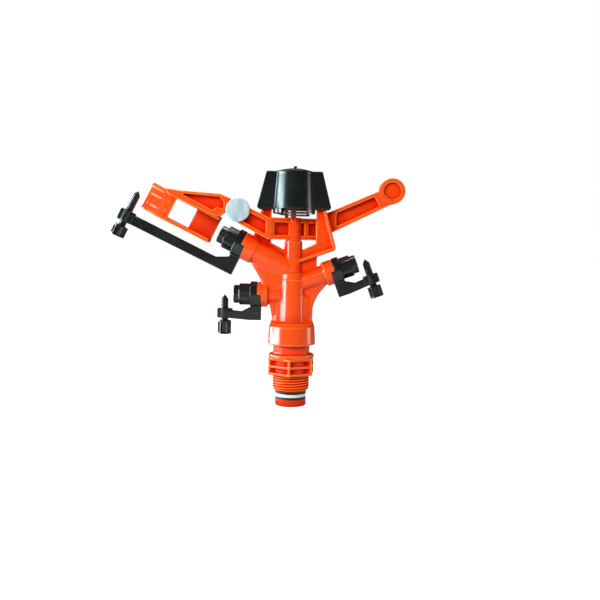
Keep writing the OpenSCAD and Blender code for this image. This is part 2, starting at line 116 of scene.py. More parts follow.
class Jet:
    """The axis of one nozzle: it starts on the upright axis and lies in the XZ plane."""

    shank = 8.0  # depth of the nozzle's threaded shank inside the collar
    half_gasket = 0.6

    def __init__(self, name):
        across = JOINTS[name + "_breaker_travel"]["axis"]
        x, z = middle_of(name + "_gasket", 0), middle_of(name + "_gasket", 2)
        side = math.copysign(1, x)
        self.across = across[0], across[2]
        self.along = side * across[2], -side * across[0]
        self.root = z - x * self.along[1] / self.along[0]
        self.face = abs(x / self.along[0]) + self.half_gasket + self.shank
        screw = frame["nodes"][name + "_breaker_screw"].data.vertices
        places = [self.place(v.co.x / MM, v.co.z / MM)[0] for v in screw]
        self.screw = (min(places) + max(places)) / 2

    def place(self, x, z):
        """Distance along the jet and height across it of a place in the XZ plane."""
        rise = z - self.root
        return (x * self.along[0] + rise * self.along[1],
                x * self.across[0] + rise * self.across[1])


MAIN, LOWER, REAR = Jet("main"), Jet("lower"), Jet("rear")


# ------------------------------------------------------------------ distance fields

def length(*parts):
    return np.sqrt(sum(part * part for part in parts))


def join(first, *others, fillet=0.0):
    """Union. The inner corner where two shapes meet is rounded to the fillet radius."""
    for other in others:
        if fillet:
            a, b = np.maximum(fillet - first, 0), np.maximum(fillet - other, 0)
            first = np.maximum(fillet, np.minimum(first, other)) - length(a, b)
        else:
            first = np.minimum(first, other)
    return first


def meet(first, *others, edge=0.0):
    """Intersection. The outer corner where two faces meet is rounded to the edge radius."""
    for other in others:
        if edge:
            a, b = np.maximum(edge + first, 0), np.maximum(edge + other, 0)
            first = np.minimum(-edge, np.maximum(first, other)) + length(a, b)
        else:
            first = np.maximum(first, other)
    return first


def cut(shape, *tools, edge=0.0):
    """The shape without the tools, with the rims of the cuts rounded."""
    return meet(shape, *(-tool for tool in tools), edge=edge)


def between(value, low, high):
    return np.abs(value - (low + high) / 2) - (high - low) / 2


def rod(radius, reach, low, high, edge=0.0):
    """A round bar: radius is the distance from its axis less its radius."""
    return meet(radius, between(reach, low, high), edge=edge)


def block(x, y, z, x_span, y_span, z_span, edge=0.5):
    return meet(between(x, *x_span), between(y, *y_span), between(z, *z_span), edge=edge)


def inset(points, distance):
    """The outline, given anticlockwise, moved inwards on every side."""
    moved = []
    for before, here, after in zip(points[-1:] + points[:-1], points, points[1:] + points[:1]):
        ax, ay = here[0] - before[0], here[1] - before[1]
        bx, by = after[0] - here[0], after[1] - here[1]
        a, b = math.hypot(ax, ay), math.hypot(bx, by)
        nx, ny = -ay / a - by / b, ax / a + bx / b
        scale = distance / (1 + (ax * bx + ay * by) / (a * b))
        moved.append((here[0] + nx * scale, here[1] + ny * scale))
    return moved


def outline(u, v, points, soft=0.0):
    """Distance to a closed flat outline, with its outer corners rounded to soft."""
    if soft:
        points = inset(points, soft)
    nearest, inside = np.inf, False
    for (ax, ay), (bx, by) in zip(points, points[1:] + points[:1]):
        ex, ey = bx - ax, by - ay
        wu, wv = u - ax, v - ay
        t = np.clip((wu * ex + wv * ey) / (ex * ex + ey * ey), 0, 1)
        nearest = np.minimum(nearest, (wu - ex * t) ** 2 + (wv - ey * t) ** 2)
        if by != ay:
            inside = inside ^ (((ay > v) != (by > v)) & (wu < ex * wv / ey))
    return np.where(inside, -1, 1) * np.sqrt(nearest) - soft


APOTHEM = 0.866  # of a hexagon with its corners at a radius of 1


def regular(u, v, sides, apothem, turn=0.0):
    """Distance to a regular polygon with a corner at the angle turn."""
    angles = [turn + math.pi * (2 * i + 1) / sides for i in range(sides)]
    return meet(*(u * math.cos(a) + v * math.sin(a) - apothem for a in angles), edge=0.6)


def spokes(u, v, half_width, turn, *limits, edge=0.3):
    """Three ribs through the middle of a hexagon with a corner at the angle turn."""
    return [meet(np.abs(v * math.cos(a) - u * math.sin(a)) - half_width, *limits, edge=edge)
            for a in (turn, turn + math.pi / 3, turn + 2 * math.pi / 3)]


def ellipse(u, v, a, b):
    """Distance to an ellipse with half axes a and b, true near its outline."""
    reach = length(u / a, v / b)
    return reach * (reach - 1) / np.maximum(length(u / a ** 2, v / b ** 2), 1e-6)


def arc(x, z, radius, start, end, steps=10):
    angles = np.radians(np.linspace(start, end, steps + 1))
    return [(x + radius * math.cos(a), z + radius * math.sin(a)) for a in angles]


def helix(radius, angle, z, crest, depth, pitch, flat=0.12):
    """A screw thread's outer surface: flat crests, straight flanks and flat roots."""
    scale = 0.7  # the field is scaled down, because it grows too fast across the steep flanks
    phase = np.abs((z / pitch - angle / (2 * math.pi)) % 1 - 0.5) * 2
    return scale * (radius - crest + depth * np.clip((phase - flat) / (1 - 2 * flat), 0, 1))


# ------------------------------------------------------------------ meshing

def crossings(values):
    """Surface nets: one vertex in every cell that the surface crosses, and a quad round
    every crossed grid edge. Returns vertices in cells from the grid's corner, and quads."""
    shape = np.array(values.shape)
    count = int(np.prod(shape))
    sums, hits, loops = np.zeros((3, count)), np.zeros(count), []
    for axis in range(3):
        first = np.take(values, range(shape[axis] - 1), axis)
        second = np.take(values, range(1, shape[axis]), axis)
        corner = np.array(np.nonzero((first < 0) != (second < 0)))
        start, end = first[tuple(corner)], second[tuple(corner)]
        point = corner.astype(float)
        point[axis] += start / (start - end)
        u, v = (axis + 1) % 3, (axis + 2) % 3
        ring = []
        for back_u, back_v in ((0, 0), (1, 0), (1, 1), (0, 1)):
            cell = corner.copy()
            cell[u] -= back_u
            cell[v] -= back_v
            index = np.ravel_multi_index(tuple(cell), values.shape)
            hits += np.bincount(index, minlength=count)
            for k in range(3):
                sums[k] += np.bincount(index, point[k], minlength=count)
            ring.append(index)
        quads = np.stack(ring, 1)
        outward = start < 0
        loops += [quads[outward], quads[~outward][:, ::-1]]
    used = np.nonzero(hits)[0]
    place = np.zeros(count, int)
    place[used] = np.arange(len(used))
    return (sums[:, used] / hits[used]).T, place[np.concatenate(loops)]


def slope_at(field, points, step=0.04):
    x, y, z = points.T
    return np.stack([field(x + step, y, z) - field(x - step, y, z),
                     field(x, y + step, z) - field(x, y - step, z),
                     field(x, y, z + step) - field(x, y, z - step)], 1) / (2 * step)


def edge_at(field, points, step=0.35, softest=0.4, sharpest=1.2):
    """0 where the surface is flat or hollow, 1 on an outward edge. The limits are in 1/mm."""
    x, y, z = points.T
    around = sum(field(x + move, y, z) + field(x, y + move, z) + field(x, y, z + move)
                 for move in (-step, step))
    bend = (around - 6 * field(x, y, z)) / step ** 2
    return np.clip((bend - softest) / (sharpest - softest), 0, 1)


def settle(field, points, cell, rounds=2, furthest=0.6):
    """Moves each vertex along the field's slope onto its surface, by at most a part of a cell."""
    for _ in range(rounds):
        slope = slope_at(field, points)
        size = np.maximum((slope ** 2).sum(1), 0.1)
        move = slope * (field(*points.T) / size)[:, None]
        excess = np.maximum(length(*move.T) / (furthest * cell), 1)
        points = points - move / excess[:, None]
    return points


def mould(field, node, cell, margin=1.2):
    """Meshes a field over its CAD node's box, and lets the mesh stand for that node. Its normals
    are the field's own slope, and an attribute marks its edges for a painted highlight."""
    cell *= 1
    low, high = (np.array(corner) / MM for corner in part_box(node))
    low, high = low - margin, high + margin
    axes = [np.arange(low[k], high[k] + cell, cell) for k in range(3)]
    x, y, z = np.meshgrid(*axes, indexing="ij", sparse=True)
    values = np.broadcast_to(field(x, y, z), tuple(len(a) for a in axes))
    points, quads = crossings(values)
    points = settle(field, points * cell + low, cell)
    mesh = bpy.data.meshes.new(node + "_moulding")
    mesh.from_pydata((points * MM).tolist(), [], quads.tolist())
    mesh.shade_smooth()
    slope = slope_at(field, points)
    mesh.normals_split_custom_set_from_vertices((slope / length(*slope.T)[:, None]).tolist())
    mesh.attributes.new(EDGE, "FLOAT", "POINT").data.foreach_set("value", edge_at(field, points))
    piece = bpy.data.objects.new(node + "_moulding", mesh)
    bpy.context.scene.collection.objects.link(piece)
    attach(piece, frame["nodes"][node]["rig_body"])
    return stand_for(piece, node)


def slot_of(node):
    return next(s["material_slot"] for s in frame["record"]["subparts"] if s["node"] == node)


def stand_for(piece, node):
    """Shows the piece in the place of a CAD node, in that node's material."""
    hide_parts(node)
    piece.data.materials.append(MATERIALS[slot_of(node)])
    return piece


# ------------------------------------------------------------------ inlet bush

def inlet_thread_field(x, y, z, low):
    """A G 1 thread that runs up into the hexagon. It starts shallow, as a lead."""
    crest, depth, pitch = 16.62, 1.48, 2.309
    lead_depth, lead_length = 2.2, 4.0
    radius = length(x, y)
    lead = lead_depth * np.clip((low + lead_length - z) / lead_length, 0, 1) ** 2
    thread = helix(radius + lead, np.arctan2(y, x), z, crest, depth, pitch)
    return meet(thread, between(z, low, 1), edge=0.4)


def grip_field(x, y, z, hex_top):
    """The hexagon: a round core with three plates and a rib at each corner."""
    core, apothem, plate, middle_plate, half_rib = 17.0, 19.5, 2.0, 6.5, 1.1
    turn = math.radians(-94)
    hexagon = regular(x, y, 6, apothem, turn)
    plates = [meet(hexagon, between(z, start, start + plate), edge=0.35)
              for start in (0, middle_plate, hex_top - plate)]
    ribs = spokes(x, y, half_rib, turn, hexagon, between(z, 0, hex_top), edge=0.35)
    return join(rod(length(x, y) - core, z, 0, hex_top), *plates, *ribs, fillet=0.5)


def bush_field(x, y, z):
    hex_top, shoulder = 15.0, 18.0
    neck, flange, bore = 16.4, 20.4, 10.57
    low, high = span("inlet_bush", 2)
    radius = length(x, y)
    collar = rod(radius - flange, z, hex_top - 1, shoulder, edge=1.3)
    sleeve = rod(radius - neck, z, hex_top, high, edge=0.4)
    upper = join(collar, sleeve, fillet=2.0)
    solid = join(inlet_thread_field(x, y, z, low), grip_field(x, y, z, hex_top), upper)
    return cut(solid, radius - bore, edge=0.5)


# ------------------------------------------------------------------ body casting

KEY = 3.7  # the lower half of each collar stands back by this, to hold the bracket
CLAMP = 6.0  # length of a bracket's ring, between the collar and the nozzle's nut
WIDE = 18.4  # half the width of the lower body
WEB_HALF = 5.0
PAST = -10.0  # outlines round an axis or a mirror plane start past it, so no face forms on it


def branch(jet, x, y, z, root, barrel, collar, collar_length):
    """A barrel that widens from its root, and its collar, which is cut back for the bracket."""
    start, taper_end = 3.0, 22.0
    along, across = jet.place(x, z)
    radius = length(y, across)
    flare = np.clip((taper_end - along) / (taper_end - start), 0, 1)
    wall = radius - barrel + (barrel - root) * flare
    tube = rod(wall, along, start, jet.face - KEY - 0.3, edge=2.5)
    ring = rod(radius - collar, along, jet.face - collar_length, jet.face, edge=1.6)
    notch = meet(jet.face - KEY - along, across)
    return tube, cut(ring, notch, edge=0.4)


def waterway(jet, x, y, z, bore, socket):
    """The bore of a branch, and the socket in its collar for the nozzle and its gasket."""
    along, across = jet.place(x, z)
    radius = length(y, across)
    socket_floor = jet.face - jet.shank - 2 * jet.half_gasket
    return join(rod(radius - bore, along, 0, jet.face + 5),
                rod(radius - socket, along, socket_floor, jet.face + 5))


def skirt_field(radius, z):
    low, shoulder, top_edge = bottom("body"), 42.5, 45.5
    return outline(radius, z, [(PAST, low), (21.4, low), (20.5, shoulder), (WIDE, top_edge),
                               (PAST, top_edge)], 0.9)


def upright_field(radius, z, ceiling):
    """The upright barrel, the narrower ring at its top, and the neck under the arm."""
    barrel, ring, neck, neck_top = 12.0, 10.9, 8.0, bottom("arm_washer")
    return outline(radius, z, [
        (PAST, ceiling), (barrel, ceiling), (ring + 0.5, 83.8), (ring, 84.4), (ring, 89.2),
        (ring - 0.8, 90), (neck + 1, 90.8), (neck + 0.3, 92), (neck, 94), (neck, neck_top),
        (PAST, neck_top)], 0.25)


def left_webs(x, y, z):
    """The web between the lower and the main branch, and a thicker one in the elbow."""
    elbow_half = 6.5
    web = meet(outline(x, z, [(0, 52), (0, 90), (-27.7, 82.3), (-20, 60), (-WIDE, 52)]),
               np.abs(y) - WEB_HALF, edge=2.4)
    elbow = meet(outline(x, z, [(0, 74), (0, 104), (-8, 104), (-36.5, 97), (-27.7, 82.3),
                                (-24.8, 74)]), np.abs(y) - elbow_half, edge=3.0)
    return web, elbow


def right_webs(x, y, z):
    """The web under the rear branch, hollowed by a round sweep, and the thin web above it."""
    sweep_radius, sweep_z, thin_half = 34.0, 53.0, 2.3
    sweep = sweep_radius - length(x - WIDE - sweep_radius + 0.4, z - sweep_z)
    web = meet(outline(x, z, [(0, 50), (19, 50), (31, 79.8), (28, 89), (0, 82)]), sweep,
               np.abs(y) - WEB_HALF + 1, edge=2.4)
    thin = meet(outline(x, z, [(0, 84), (16, 84), (21.4, 92), (21.4, 106), (0, 100.5)]),
                np.abs(y) - thin_half, edge=0.4)
    return web, thin


def bridge_field(x, y, z):
    """The flat bridge over the arm: a web, with a bead along its outer edge. Each column's bead
    stands further out on the side that the arm's beams don't pass."""
    web_half, bead_half, bead, proud = 2.5, 1.5, 3.7, 6.5
    bead_low, bead_high, high = 98.5, 146.0, 176.0
    corner_radius, boss, boss_low = 3.0, 4.5, 168.0
    side = np.abs(x)
    outer = [(PAST, 99.1), (4.4, 99.1), *arc(34.9, 113.5, corner_radius, -70, 15, 5),
             (28.2, 149.1), (20.9, high), (PAST, high)]
    hole = [(PAST, 110.9), (7.8, 110.9), (20.2, 117), (20.2, 170), (PAST, 170)]
    shape = outline(side, z, outer)
    web = meet(shape, np.abs(y) - web_half, edge=0.7)
    web = cut(web, outline(side, z, hole), edge=0.7)
    depth = np.where(x * y < 0, proud, bead)
    rim = meet(np.abs(shape + bead_half) - bead_half, np.abs(y) - depth, z - bead_high,
               bead_low - z, edge=1.35)
    pin_boss = rod(length(x, y) - boss, z, boss_low, high, edge=0.3)
    return join(web, rim, pin_boss, fillet=0.8)


def body_hollow(x, y, z, ceiling):
    skirt_bore, barrel_bore, barrel_top = 18.2, 7.4, 90.0
    radius = length(x, y)
    return join(rod(radius - skirt_bore, z, bottom("body") - 5, ceiling),
                rod(radius - barrel_bore, z, ceiling - 1, barrel_top),
                waterway(MAIN, x, y, z, bore=6.5, socket=8.5),
                waterway(LOWER, x, y, z, bore=4.5, socket=7.3),
                waterway(REAR, x, y, z, bore=5, socket=7.3))


def body_field(x, y, z):
    """The casting. Its lower part is an oval, and each branch has its own webs."""
    oval_half, oval_top = 8.0, 70.0
    ceiling = bottom("spring_washer") + 1.5
    radius = length(x, y)
    oval = meet(ellipse(x, y, WIDE, oval_half), between(z, ceiling, oval_top), edge=2.4)
    left_web, elbow_web = left_webs(x, y, z)
    right_web, thin_web = right_webs(x, y, z)
    main_tube, main_ring = branch(MAIN, x, y, z, root=8.2, barrel=10.8, collar=12.0,
                                  collar_length=14.0)
    lower_tube, lower_ring = branch(LOWER, x, y, z, root=7.8, barrel=8.2, collar=11.1,
                                    collar_length=9.8)
    rear_tube, rear_ring = branch(REAR, x, y, z, root=8.2, barrel=8.8, collar=11.1,
                                  collar_length=10.0)
    core = join(join(oval, left_web, right_web), thin_web, elbow_web, fillet=3.0)
    core = join(core, main_tube, fillet=2.5)
    core = join(core, lower_tube, rear_tube, upright_field(radius, z, ceiling), fillet=1.0)
    core = join(core, skirt_field(radius, z), fillet=3.0)
    core = join(core, main_ring, lower_ring, rear_ring, bridge_field(x, y, z), fillet=1.2)
    return cut(core, body_hollow(x, y, z, ceiling), edge=0.5)


# ------------------------------------------------------------------ nozzles, brackets, screws

def nozzle_field(jet, nut_radius, nose_radius, nose_length, orifice, screw):
    """A nozzle: a screw shank, a hexagon nut, and a nose with eight slots."""
    nut, slot_half, slot_depth, slots = 10.0, 0.8, 0.7, 8
    flare, flare_length = 3.0, 2.2

    def field(x, y, z):
        along, across = jet.place(x, z)
        radius, angle = length(y, across), np.arctan2(across, y)
        nut_start = jet.face + CLAMP
        nose_start = nut_start + nut
        end = nose_start + nose_length
        shank = rod(radius - screw, along, jet.face - jet.shank, nut_start + 1)
        hexagon = regular(y, across, 6, nut_radius * APOTHEM, math.pi / 2)
        grip = meet(hexagon, radius - nut_radius * 0.97, between(along, nut_start, nose_start),
                    edge=0.6)
        nose = rod(radius - nose_radius, along, nut_start, end, edge=0.8)
        turn = np.abs((angle * slots / (2 * math.pi)) % 1 - 0.5) * 2
        cuts = meet(turn * math.pi * radius / slots - slot_half,
                    nose_radius - slot_depth - radius, nose_start + 1 - along)
        bell = outline(along, radius, [(end - 4, -1), (end + 1, -1), (end + 1, orifice + flare),
                                       (end - flare_length, orifice), (end - 4, orifice)])
        throat = rod(radius - orifice, along, jet.face - jet.shank - 1, end + 1)
        return cut(join(shank, grip, nose, fillet=0.4), cuts, bell, throat, edge=0.35)
    return field


def bracket_field(jet, ring_radius, screw, drop, thick, boss_low, boss_high):
    """A bracket: a ring round the nozzle's shank, a tongue that fills the cut in the collar, and
    a flat leg that turns into the arm with the breaker screw's boss."""
    width, screw_radius = 9.0, 3.47

    def field(x, y, z):
        along, across = jet.place(x, z)
        radius = length(y, across)
        reach, back, leg = jet.screw, jet.face - KEY, jet.face + 5.2
        arm_top, shelf = thick - drop, -screw - 1.5
        clamp = rod(radius - ring_radius, along, jet.face, jet.face + CLAMP, edge=0.5)
        tongue = meet(radius - ring_radius, between(along, back, jet.face + 1), across, edge=0.4)
        side = outline(along, across, [
            (back, -drop), (leg + 2, -drop), (reach, boss_low), (reach, boss_high - 1.4),
            (leg + drop / 2.6, arm_top), (leg, arm_top + drop / 5), (leg, shelf),
            (back, shelf)], 0.4)
        plate = meet(side, np.abs(y) - width / 2 + 0.3, edge=0.6)
        boss = boss_field(along - reach, y, across, boss_low, boss_high)
        shape = join(join(clamp, tongue), plate, boss, fillet=0.8)
        hole = rod(length(along - reach, y) - screw_radius, across, boss_low - 8, boss_high + 8)
        return cut(shape, radius - screw - 0.1, hole, edge=0.4)
    return field


def boss_field(u, y, v, low, high):
    """The block that holds the breaker screw, round at its front and back."""
    radius, half_width, back, front = 5.2, 4.2, -6.8, 6.6
    sleeve = rod(length(u, y) - radius, v, low, high, edge=0.5)
    body = block(u, y, v, (back, front), (-half_width, half_width), (low, high), 0.8)
    return join(sleeve, body, fillet=0.5)


def knob_field(u, y, across, low, high, corner):
    """The screw's knob: two hexagon plates on a core, with a rib to each corner."""
    plate, half_rib = 1.3, 0.65
    hexagon = regular(u, y, 6, corner * APOTHEM)
    either = np.minimum(between(across, low, low + plate), between(across, high - plate, high))
    core = rod(length(u, y) - corner * 0.68, across, low, high)
    ribs = spokes(u, y, half_rib, 0, hexagon, between(across, low, high))
    return join(meet(hexagon, either, edge=0.3), core, *ribs, fillet=0.3)


def breaker_field(jet, tip, knob_low, knob_high, corner):
    """A breaker screw: a pointed, threaded pin on a knob."""
    crest, depth, pitch, flat = 3.4, 0.45, 1.7, 0.2
    point, blunt, neck = 4.0, 0.3, 2.9
    steep = 0.79  # the cosine of the point's slope

    def field(x, y, z):
        along, across = jet.place(x, z)
        u = along - jet.screw
        radius, angle = length(u, y), np.arctan2(y, u)
        thread = helix(radius, angle, across, crest, depth, pitch, flat)
        cone = (radius - blunt - (tip - across) * (crest - blunt) / point) * steep
        pin = meet(thread, cone, knob_high - 0.5 - across, edge=0.3)
        collar = rod(radius - neck, across, knob_high - 1, knob_high + 3)
        return join(pin, collar, knob_field(u, y, across, knob_low, knob_high, corner))
    return field


# ------------------------------------------------------------------ cap

def cap_outside(x, y, z, grow, low, high):
    """The cap's sloping sides, moved out by grow: a round housing between two wings."""
    housing_radius, housing_taper = 19.2, 2.2
    wing_reach, wing_taper, wing_half = 33.6, 8.6, 7.5
    share = (z - low) / (high - low)
    housing = length(x, y) - (housing_radius - housing_taper * share) - grow
    wing = meet(np.abs(x) - (wing_reach - wing_taper * share) - grow,
                np.abs(y) - wing_half - grow, edge=max(0.8 + grow, 0.2))
    return join(housing, wing, fillet=0.8)


def cap_field(x, y, z):
    """The open cap, with a low crown on top. Two ears of its rim hang down inside the bridge's
    columns."""
    wall, rim, flat, pin_radius, boss = 2.2, 147.0, 181.0, 2.0, 4.5
    crown, crown_reach = 3.0, 16.8
    ear_inner, ear_outer, ear_start = 17.3, 19.0, 11.0
    low, high = span("top_cap", 2)
    crown_radius = (crown_reach ** 2 + crown ** 2) / (2 * crown)
    radius = length(x, y)
    dome = length(x, y, z - high + crown_radius) - crown_radius
    outer = meet(cap_outside(x, y, z, 0, rim, flat), between(z, rim, flat), edge=0.9)
    outer = join(outer, meet(dome, flat - 2 - z, radius - 17), fillet=0.6)
    inner = meet(cap_outside(x, y, z, -wall, rim, flat), z - flat + wall)
    chamfer = (z - rim) * 0.82 - (np.abs(x) - 31.1) * 0.57
    pin_boss = rod(radius - boss, z, top("body"), flat)
    ears = meet(rod(radius - ear_outer, z, low, rim + 1), ear_inner - radius,
                ear_start - np.abs(x), edge=0.3)
    shell = join(cut(outer, inner, chamfer, edge=0.4), pin_boss, ears)
    return cut(shell, radius - pin_radius)


# ------------------------------------------------------------------ impact arm

BEAM_GAP, BEAM_DEPTH = 4.2, 7.8
WEIGHT_SHANK = 7.5


def arm_bar_field(x, y, z, low, high):
    """The bar between the beams: hub, pockets at the front, and lugs for the spring's tail."""
    turn, half_depth, hub_radius, rim = math.radians(20), 3.5, 6.0, 4.2
    u = x * math.cos(turn) + y * math.sin(turn)
    v = y * math.cos(turn) - x * math.sin(turn)
    bar = block(u, v, z, (-24, 23), (-half_depth, half_depth), (low + 0.4, high), 0.7)
    pockets = [block(u, v, z, (start, end), (-9, 1.7), (low + rim, high - rim), 0.5)
               for start, end in ((-19.2, -5.5), (5.5, 9.2), (13, 20))]
    hub = rod(length(x, y) - hub_radius, z, low, high + 0.4, edge=0.5)
    lug = block(x, y, z, (-2.8, 1.6), (-6.5, -3.1), (high - 4, high + 12), 0.6)
    small_lug = block(x, y, z, (-8.2, -5.1), (-3, 0), (high - 1, high + 11), 0.6)
    return join(join(cut(bar, *pockets, edge=0.5), hub, fillet=0.8), lug, small_lug, fillet=0.5)


def weight_beam_field(x, y, z, low):
    """The front beam, from the bar past the weight to the spoon, with two pockets."""
    front, pocket_depth = -BEAM_GAP - BEAM_DEPTH, 5.2
    shape = outline(x, z, [
        (-20, low + 0.4), (-20, 138.2), (-39.8, 147.7), (-56.5, 155.6), (-65.5, 159.2),
        (-102, 161.6), (-113.5, 163.4), (-111, 157.5), (-68, 138.8), (-64.6, 140.2),
        (-60.3, 143.6), (-48, 132.8), (-23, low + 0.4)])
    beam = meet(shape, between(y, front, -BEAM_GAP), edge=0.8)
    first = outline(x, z, [(-24.6, 124.2), (-24.6, 136), (-38.6, 142.8), (-46, 136)], 1.0)
    second = outline(x, z, [(-66.2, 156.6), (-100.4, 159), (-72.1, 144.7), (-68.3, 147.5),
                            (-62.3, 145.6), (-62, 152)], 0.6)
    pockets = meet(np.minimum(first, second), y - front - pocket_depth, edge=0.4)
    return cut(beam, pockets, edge=0.6)


def tail_beam_field(x, y, z, low):
    """The back beam, which ends in a round boss. Its pocket and the boss's dish face forwards."""
    back, pocket_depth = BEAM_GAP + BEAM_DEPTH, 5.2
    boss_x, boss_z, boss_radius, dish_radius = 88.8, 165.9, 11.7, 7.8
    shape = outline(x, z, [(20, low + 0.4), (36.7, 128.1), (93.5, 156.4), (84, 169),
                           (31.4, 145.6), (20, 140.6)], 0.5)
    beam = meet(shape, between(y, BEAM_GAP, back), edge=0.8)
    radius = length(x - boss_x, z - boss_z)
    boss = rod(radius - boss_radius, y, BEAM_GAP - 1, back + 1, edge=1.0)
    pocket = outline(x, z, [(38.5, 132.6), (77, 151.6), (72.5, 160.2), (38.5, 145)], 1.5)
    pocket = meet(pocket, y - BEAM_GAP - pocket_depth, edge=0.5)
    dish = rod(radius - dish_radius, y, -20, BEAM_GAP + 2, edge=0.5)
    return cut(join(beam, boss, fillet=1.0), pocket, dish, edge=0.8)


def spoon_axes(x, y, z):
    """The spoon's own axes: u along it, v across it and w towards the front."""
    turn, start, rise = math.radians(0.6), 78.8, 0.9
    along, across = MAIN.place(x, z)
    along, across = along - start, across - rise
    return (along * math.cos(turn) + across * math.sin(turn),
            across * math.cos(turn) - along * math.sin(turn), -y)


def spoon_field(x, y, z):
    """The spoon: two walls, a sloping inner vane, and an outer vane that curls back, with two
    low ridges on it."""
    half, side_wall, wall, front, back = 12.9, 3.4, 2.6, 9.0, -6.5
    curl, curl_start, outer_start = 27.0, 45.5, 42
    inner_end, inner_depth, inner_rise, inner_wall = 22.5, 4.3, 4.8, 2.4
    ridge_v, ridge_radius, ridge_sunk, ridge_start, ridge_end = 4.6, 2.4, 2.0, 46, 66
    u, v, w = spoon_axes(x, y, z)
    bent = length(u - curl_start, w - front + curl) - curl
    hull = np.where(u > curl_start, bent, w - front)
    side = meet(hull, -u, back - w, edge=0.8)
    walls = meet(side, half - side_wall - np.abs(v), np.abs(v) - half, edge=0.8)
    outer = meet(side, -hull - wall, outer_start - u, np.abs(v) - half + 1, edge=0.7)
    slope = (w + inner_depth - inner_rise * u / inner_end) * 0.978
    inner = meet(slope, -slope - inner_wall, between(u, 0, inner_end), np.abs(v) - half + 1,
                 edge=0.5)
    ridges = meet(length(hull + ridge_sunk, np.abs(v) - ridge_v) - ridge_radius,
                  ridge_start - u, u - ridge_end, edge=0.4)
    return join(join(walls, outer, inner, fillet=1.2), ridges, fillet=0.8)


def arm_field(x, y, z):
    clearance, height, pin_radius = 0.1, 19.8, 2.07
    low = top("arm_washer") + clearance
    high = low + height
    parts = join(arm_bar_field(x, y, z, low, high), weight_beam_field(x, y, z, low),
                 tail_beam_field(x, y, z, low), spoon_field(x, y, z), fillet=0.9)
    return cut(parts, length(x, y) - pin_radius, weight_distance(x, z) - WEIGHT_SHANK)


def weight_distance(x, z):
    """Distance from the axis of the steel weight."""
    return length(x - middle_of("arm_weight", 0), z - middle_of("arm_weight", 2))


def weight_field(x, y, z):
    """The steel weight: a wide head in front of the shank that fills the arm's hole."""
    front, back = span("arm_weight", 1)
    left, right = span("arm_weight", 0)
    radius = weight_distance(x, z)
    head = rod(radius - (right - left) / 2, y, front, front + 3.2, edge=0.9)
    shank = rod(radius - WEIGHT_SHANK, y, front, back, edge=0.5)
    return join(head, shank)


# ------------------------------------------------------------------ wire springs

COIL, WIRE = 13.4, 0.8  # radii of both springs and of their wires


def wire(name, path, radius, sides=12):
    """A round wire along a path of points in millimetres."""
    curve = bpy.data.curves.new(name, "CURVE")
    curve.dimensions = "3D"
    curve.bevel_depth = radius * MM
    curve.bevel_resolution = sides // 4
    curve.use_fill_caps = True
    spline = curve.splines.new("POLY")
    spline.points.add(len(path) - 1)
    for point, place in zip(spline.points, path):
        point.co = (*(c * MM for c in place), 1)
    made = bpy.data.objects.new(name + "_curve", curve)
    bpy.context.scene.collection.objects.link(made)
    bpy.context.view_layer.update()
    settled = made.evaluated_get(bpy.context.evaluated_depsgraph_get())
    mesh = bpy.data.meshes.new_from_object(settled)
    bpy.data.objects.remove(made)
    mesh.name = name
    mesh.shade_smooth()
    piece = bpy.data.objects.new(name, mesh)
    bpy.context.scene.collection.objects.link(piece)
    return piece


def coil(radius, low, high, turns, start=0.0, steps=40):
    """The points of a spring that rises from low to high, from the angle start."""
    for i in range(int(turns * steps) + 1):
        angle = start + 2 * math.pi * i / steps
        rise = (high - low) * i / (turns * steps)
        yield radius * math.cos(angle), radius * math.sin(angle), low + rise


# ------------------------------------------------------------------ material nodes

def fresh(name):
    material = bpy.data.materials.new(name)
    material.use_nodes = True
    nodes, link = material.node_tree.nodes, material.node_tree.links
    return material, nodes, link, nodes["Principled BSDF"]


def noise(nodes, link, scale, detail, rough, stretch=None):
    """Noise that is fixed to the piece. It may be stretched along its axes."""
    texture = nodes.new("ShaderNodeTexNoise")
    texture.inputs["Scale"].default_value = scale
    texture.inputs["Detail"].default_value = detail
    texture.inputs["Roughness"].default_value = rough
    source = nodes.new("ShaderNodeTexCoord").outputs["Object"]
    if stretch:
        mapping = nodes.new("ShaderNodeMapping")
        mapping.inputs["Scale"].default_value = stretch
        link.new(source, mapping.inputs[0])
        source = mapping.outputs[0]
    link.new(source, texture.inputs["Vector"])
    return texture.outputs["Fac"]


def ramp(nodes, link, source, stops):
    colours = nodes.new("ShaderNodeValToRGB")
    for element, (place, colour) in zip(colours.color_ramp.elements, stops):
        element.position = place
        element.color = (*colour, 1)
    link.new(source, colours.inputs[0])
    return colours.outputs[0]


def spread(nodes, link, source, low, high, start=0.3, end=0.7):
    """The source, from start to end, mapped to low to high."""
    remap = nodes.new("ShaderNodeMapRange")
    remap.inputs["From Min"].default_value = start
    remap.inputs["From Max"].default_value = end
    remap.inputs["To Min"].default_value = low
    remap.inputs["To Max"].default_value = high
    link.new(source, remap.inputs["Value"])
    return remap.outputs[0]


def roughen(nodes, link, shader, source, strength, depth):
    """Bumps of the given depth in metres."""
    bump = nodes.new("ShaderNodeBump")
    bump.inputs["Strength"].default_value = strength
    bump.inputs["Distance"].default_value = depth
    link.new(source, bump.inputs["Height"])
    link.new(bump.outputs[0], shader.inputs["Normal"])


def openness(nodes, link, reach=0.022):
    """0 far in a hollow, 1 on an open face. The materials paint shade into hollows by it."""
    hidden = nodes.new("ShaderNodeAmbientOcclusion")
    hidden.samples = 8
    hidden.inputs["Distance"].default_value = reach
    return spread(nodes, link, hidden.outputs["AO"], 0, 1, 0.45, 1.0)


def edges(nodes):
    """0 on flat and hollow faces, 1 on outward edges of moulded pieces, for the painted
    highlight.
    """
    stored = nodes.new("ShaderNodeAttribute")
    stored.attribute_name = EDGE
    return stored.outputs["Fac"]


